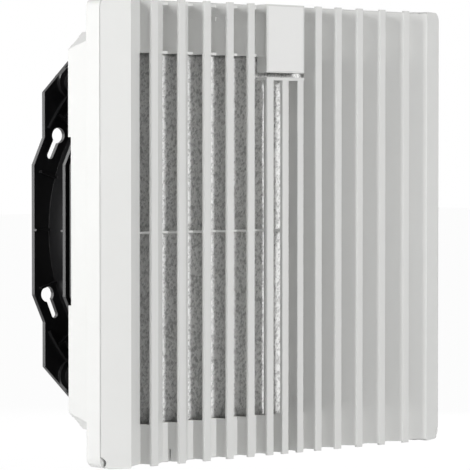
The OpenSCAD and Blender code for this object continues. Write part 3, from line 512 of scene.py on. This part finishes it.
class FILTERFAN_OT_seals(bpy.types.Operator):
    """Model the panel gasket and the fan's inlet seal as foam rings with soft edges"""

    bl_idname = "filter_fan.seals"
    bl_label = "Foam seals"

    def execute(self, context):
        settings = context.scene.filter_fan_seals
        material = foam("seal foam", settings.colour)
        for node, shape in (("panel_gasket", self.square_ring), ("inlet_seal", self.round_ring)):
            piece = finished_object(node + "_foam", shape(node, settings), material,
                                    "frame")
            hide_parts(node)
        return {"FINISHED"}

    def square_ring(self, node, settings):
        """A flat square ring of foam in a CAD node's box, with soft edges."""
        low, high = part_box(node)
        mesh = bmesh.new()
        place = Matrix.Translation((0, low.y, 0)) @ Matrix.Rotation(QUARTER_TURN, 4, "X")
        bmesh.ops.create_grid(mesh, x_segments=1, y_segments=1, size=high.x, matrix=place)
        inner = list(mesh.faces)
        bmesh.ops.inset_region(mesh, faces=inner, use_boundary=True, use_even_offset=True,
                               thickness=settings.gasket_width)
        bmesh.ops.delete(mesh, geom=inner, context="FACES")
        grown = bmesh.ops.extrude_face_region(mesh, geom=list(mesh.faces), use_keep_orig=True)
        moved = [v for v in grown["geom"] if isinstance(v, bmesh.types.BMVert)]
        bmesh.ops.translate(mesh, verts=moved, vec=(0, high.y - low.y, 0))
        bmesh.ops.recalc_face_normals(mesh, faces=mesh.faces)
        sharp = [e for e in mesh.edges if e.calc_face_angle(0) > SHARP_ANGLE]
        bmesh.ops.bevel(mesh, geom=sharp, offset=settings.soft_edge, affect="EDGES",
                        segments=2, profile=0.5, material=-1)
        return mesh

    def round_ring(self, node, settings):
        """A ring of foam in a CAD node's box, spun from a profile with soft corners."""
        low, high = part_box(node)
        mesh = bmesh.new()
        size = Matrix.Diagonal((settings.seal_width / 2, (high.y - low.y) / 2, 1, 1))
        place = Matrix.Translation((high.x - settings.seal_width / 2, (low.y + high.y) / 2, 0))
        bmesh.ops.create_grid(mesh, x_segments=1, y_segments=1, size=1, matrix=place @ size)
        bmesh.ops.bevel(mesh, geom=list(mesh.verts), offset=settings.soft_edge, affect="VERTICES",
                        segments=3, profile=0.5, material=-1)
        bmesh.ops.delete(mesh, geom=list(mesh.faces), context="FACES_ONLY")
        bmesh.ops.spin(mesh, geom=list(mesh.verts) + list(mesh.edges), axis=(0, 1, 0),
                       angle=2 * math.pi, steps=settings.round_sides, use_merge=True)
        return mesh


class FILTERFAN_OT_stage(bpy.types.Operator):
    """Set up the floor, the world, the lights and the camera"""

    bl_idname = "filter_fan.stage"
    bl_label = "Stage"

    def execute(self, context):
        settings = context.scene.filter_fan_stage
        self.add_floor(settings)
        self.add_world(context, settings)
        for name, place, size, setting in SOFT_BOXES:
            self.add_soft_box(name, place, size, getattr(settings, setting))
        self.add_camera(context, settings)
        context.scene.view_settings.view_transform = "Standard"
        return {"FINISHED"}

    def seen_rays(self, tree):
        """A factor that is 1 for what the camera sees, straight, mirrored or through glass."""
        path = add_node(tree, "ShaderNodeLightPath")
        total = path.outputs["Is Camera Ray"]
        for name in ("Is Glossy Ray", "Is Transmission Ray"):
            total = joined(tree, "MAXIMUM", total, path.outputs[name])
        return total

    def add_floor(self, settings):
        """A pale floor that is seen nearly white and keeps the object's shadow."""
        material, tree, shader = new_material("pale floor")
        shader.inputs["Base Color"].default_value = FLOOR_GREY
        shader.inputs["Roughness"].default_value = 0.9
        white = add_node(tree, "ShaderNodeEmission", {"Color": WHITE, "Strength": 1.0})
        mix = add_node(tree, "ShaderNodeMixShader")
        share = add_node(tree, "ShaderNodeMath", {1: FLOOR_WHITE}, operation="MULTIPLY")
        tree.links.new(self.seen_rays(tree), share.inputs[0])
        tree.links.new(share.outputs[0], mix.inputs["Fac"])
        tree.links.new(shader.outputs["BSDF"], mix.inputs[1])
        tree.links.new(white.outputs["Emission"], mix.inputs[2])
        tree.links.new(mix.outputs["Shader"], tree.nodes["Material Output"].inputs["Surface"])
        mesh = bmesh.new()
        place = Matrix.Translation((0, 0, CAD_BOX[0].z - settings.floor_drop))
        bmesh.ops.create_grid(mesh, x_segments=1, y_segments=1, size=FLOOR_REACH, matrix=place)
        data = bpy.data.meshes.new("floor")
        mesh.to_mesh(data)
        mesh.free()
        data.materials.append(material)
        floor = bpy.data.objects.new("floor", data)
        bpy.context.scene.collection.objects.link(floor)

    def add_world(self, context, settings):
        """A weak even light, seen as white."""
        world = bpy.data.worlds.new("studio")
        context.scene.world = world
        world.use_nodes = True
        tree = world.node_tree
        even = tree.nodes["Background"]
        even.inputs["Color"].default_value = WHITE
        even.inputs["Strength"].default_value = settings.sky
        white = add_node(tree, "ShaderNodeBackground", {"Color": WHITE, "Strength": 1.0})
        mix = add_node(tree, "ShaderNodeMixShader")
        tree.links.new(self.seen_rays(tree), mix.inputs["Fac"])
        tree.links.new(even.outputs["Background"], mix.inputs[1])
        tree.links.new(white.outputs["Background"], mix.inputs[2])
        tree.links.new(mix.outputs["Shader"], tree.nodes["World Output"].inputs["Surface"])

    def add_soft_box(self, name, place, size, power):
        """An area light that faces the object."""
        lamp = bpy.data.lights.new(name, "AREA")
        lamp.shape = "RECTANGLE"
        lamp.size, lamp.size_y = size
        lamp.energy = power
        holder = bpy.data.objects.new(name, lamp)
        holder.location = place
        holder.rotation_mode = "QUATERNION"
        holder.rotation_quaternion = (-Vector(place)).to_track_quat("-Z", "Y")
        bpy.context.scene.collection.objects.link(holder)

    def add_camera(self, context, settings):
        """The camera, at the photo's angle."""
        data = bpy.data.cameras.new("camera")
        data.lens = settings.lens
        camera = bpy.data.objects.new("camera", data)
        camera.location = settings.eye
        camera.rotation_euler = (QUARTER_TURN - settings.tilt, 0, -settings.heading)
        context.scene.collection.objects.link(camera)
        context.scene.camera = camera


class FILTERFAN_PT_looks(bpy.types.Panel):
    """Settings and steps of the filter fan's looks"""

    bl_label = "Filter Fan"
    bl_idname = "FILTERFAN_PT_looks"
    bl_space_type = "VIEW_3D"
    bl_region_type = "UI"
    bl_category = "Filter Fan"

    def draw(self, context):
        for name in SETTINGS:
            group = getattr(context.scene, name)
            for key in group.__annotations__:
                self.layout.prop(group, key)
        for step in STEPS:
            self.layout.operator(step.bl_idname)


SETTINGS = {
    "filter_fan_finish": FinishSettings,
    "filter_fan_mat": MatSettings,
    "filter_fan_seals": SealSettings,
    "filter_fan_stage": StageSettings,
}
STEPS = (
    FILTERFAN_OT_light_plastic, FILTERFAN_OT_black_fan, FILTERFAN_OT_metal,
    FILTERFAN_OT_filter_mat, FILTERFAN_OT_seals, FILTERFAN_OT_stage,
)
CLASSES = (*SETTINGS.values(), *STEPS, FILTERFAN_PT_looks)


def register():
    for kind in CLASSES:
        bpy.utils.register_class(kind)
    for name, kind in SETTINGS.items():
        setattr(bpy.types.Scene, name, bpy.props.PointerProperty(type=kind))


def unregister():
    for name in reversed(SETTINGS):
        delattr(bpy.types.Scene, name)
    for kind in reversed(CLASSES):
        bpy.utils.unregister_class(kind)


def main():
    register()
    bpy.ops.filter_fan.light_plastic()
    bpy.ops.filter_fan.black_fan()
    bpy.ops.filter_fan.metal()
    bpy.ops.filter_fan.filter_mat()
    bpy.ops.filter_fan.seals()
    bpy.ops.filter_fan.stage()


if __name__ == "__main__":
    main()
